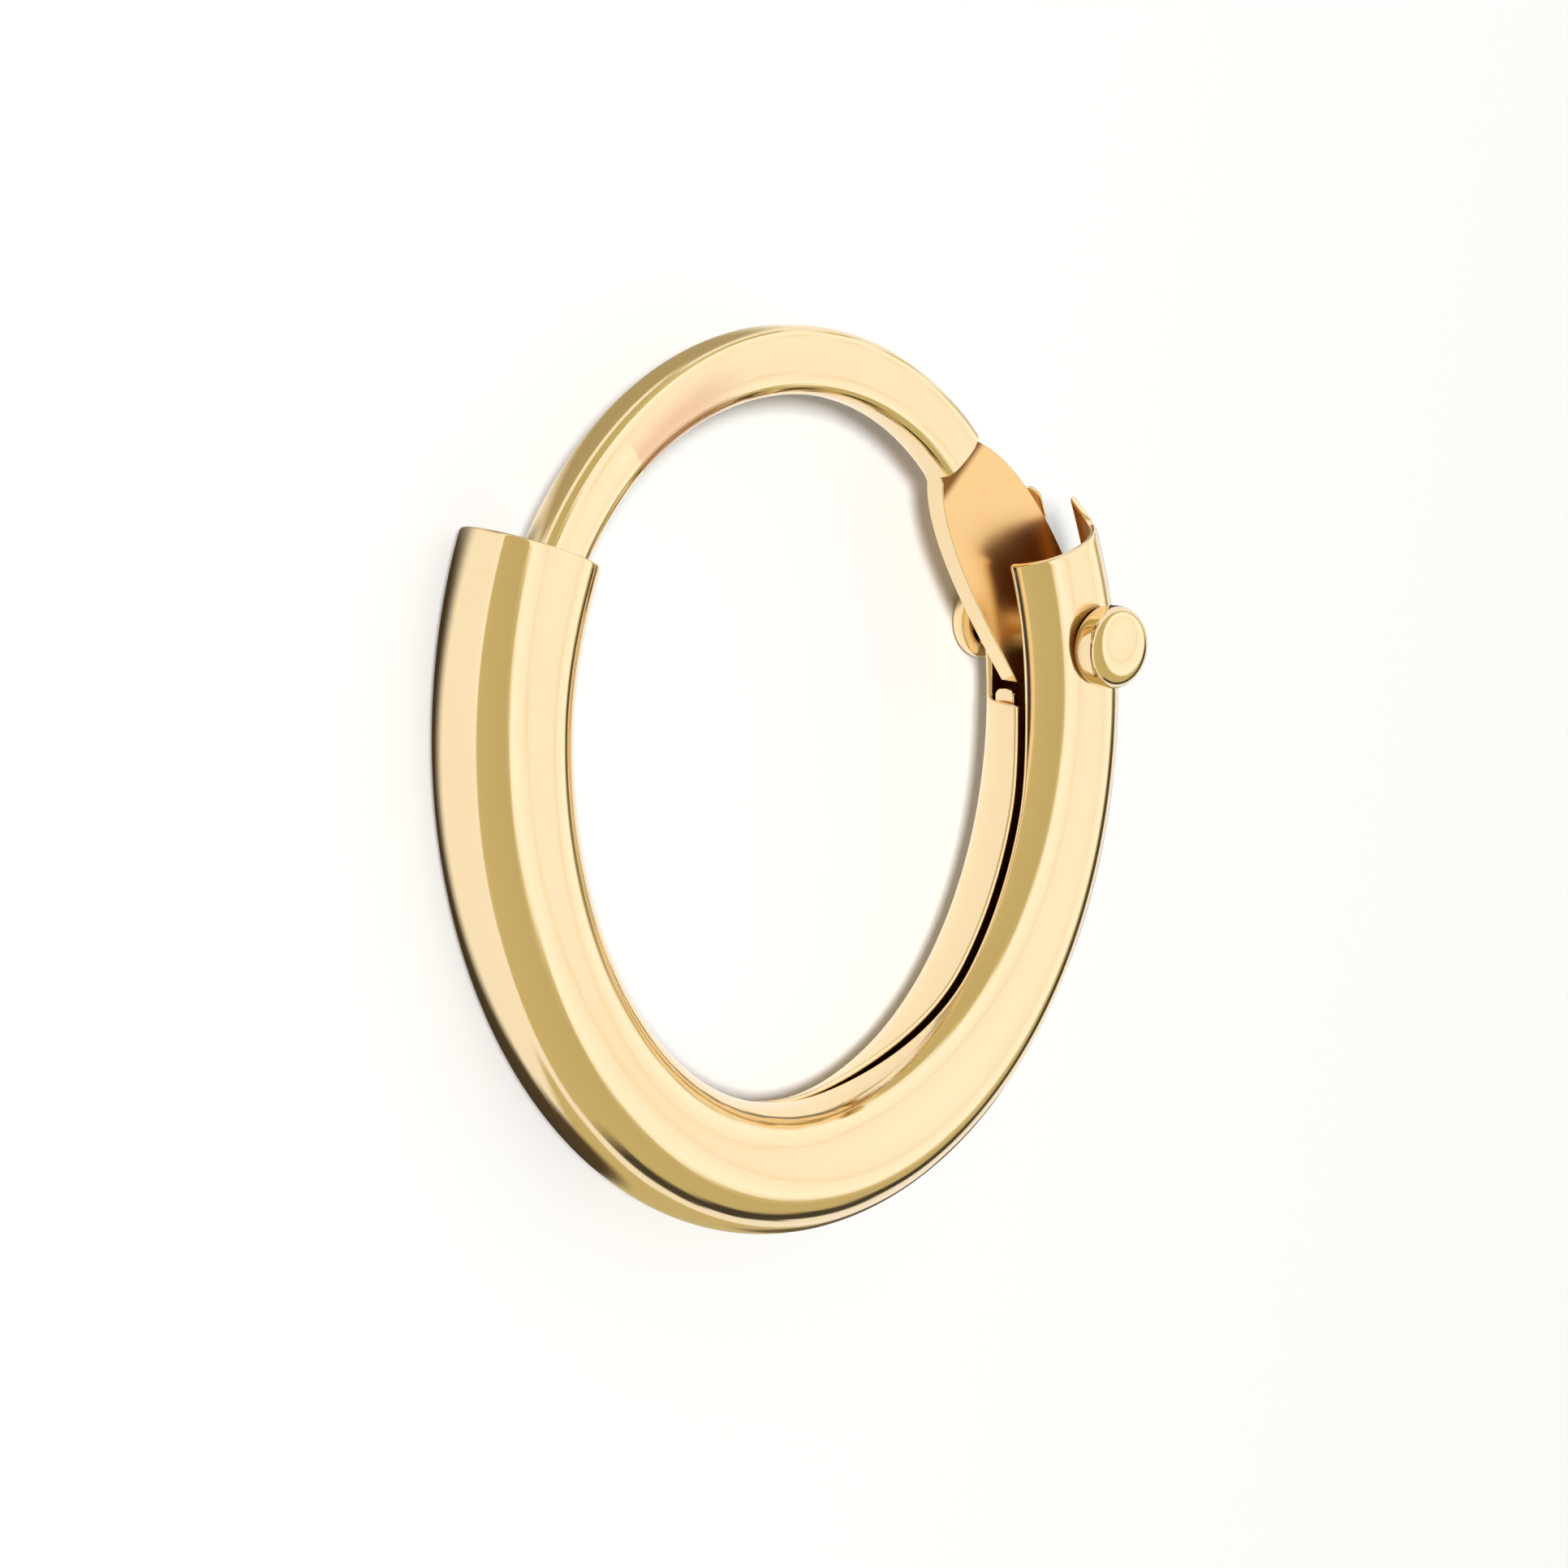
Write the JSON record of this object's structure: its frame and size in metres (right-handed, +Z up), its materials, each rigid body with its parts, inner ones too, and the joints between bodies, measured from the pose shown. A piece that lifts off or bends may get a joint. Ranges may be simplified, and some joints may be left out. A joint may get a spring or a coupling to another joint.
{
  "type": "hinged hoop earring",
  "caption": "Oval hoop earring of hollow gold tube, with a solid ear wire that swings open on a riveted hinge and slots into the tube's open end.",
  "frame": {"origin": "middle of the bounding box in plan, at the table the earring lies on", "axes": "+Z up from the table; +X from the hoop's middle towards the hinge rivet; +Y towards the ear wire. The hoop leans about 3.8 degrees on its lower rivet head, so its own normal is not quite +Z."},
  "size_m": [0.0136, 0.014, 0.0034],
  "materials": {
    "gold_tube": "polished yellow gold",
    "gold_wire": "polished yellow gold, satin on its flat front",
    "gold_rivet": "polished yellow gold"
  },
  "bodies": {
    "hoop": {"hoop_tube": "gold_tube", "hinge_rivet": "gold_rivet"},
    "wire": {"ear_wire": "gold_wire"}
  },
  "joints": [
    {"name": "wire_hinge", "type": "hinge", "parent": "hoop", "child": "wire", "pos_m": [0.00581, 0.00057, 0.00176], "axis": [0.065, 0.0115, -0.9978], "range_deg": [0, 45]}
  ]
}
